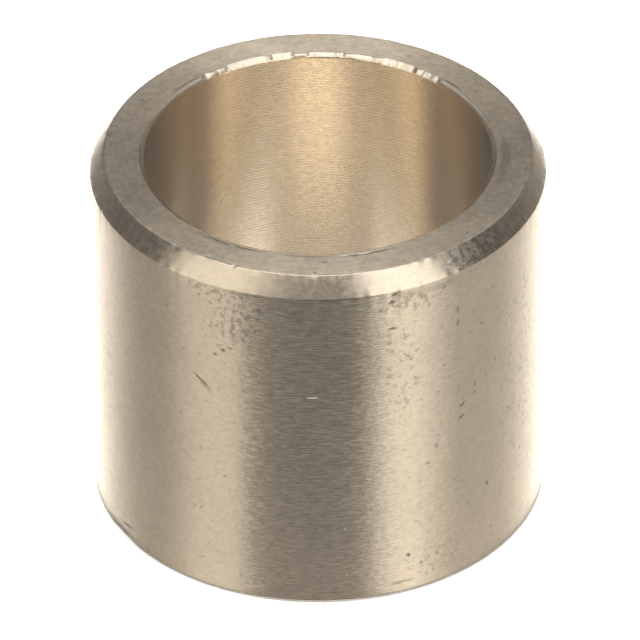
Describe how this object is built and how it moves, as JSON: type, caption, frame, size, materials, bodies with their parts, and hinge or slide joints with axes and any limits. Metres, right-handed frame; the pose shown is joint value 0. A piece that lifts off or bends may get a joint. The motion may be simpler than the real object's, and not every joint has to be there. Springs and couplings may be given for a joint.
{
  "type": "plain sleeve bearing",
  "caption": "Short thick-walled cylindrical bronze sleeve bearing with a lead-in chamfer, pressed into a housing to carry a rotating or sliding shaft in its plain bore.",
  "frame": {"origin": "centre of the lower end face, on the bore's axis", "axes": "+Z along the bore's axis, from the plain end up to the end with the lead-in chamfer; X and Y are free because the part is round"},
  "size_m": [0.0334, 0.0334, 0.0286],
  "materials": {
    "bearing_bronze": "machined, fine turning marks, satin"
  },
  "bodies": {
    "root": {"sleeve_bushing": "bearing_bronze"}
  },
  "joints": []
}
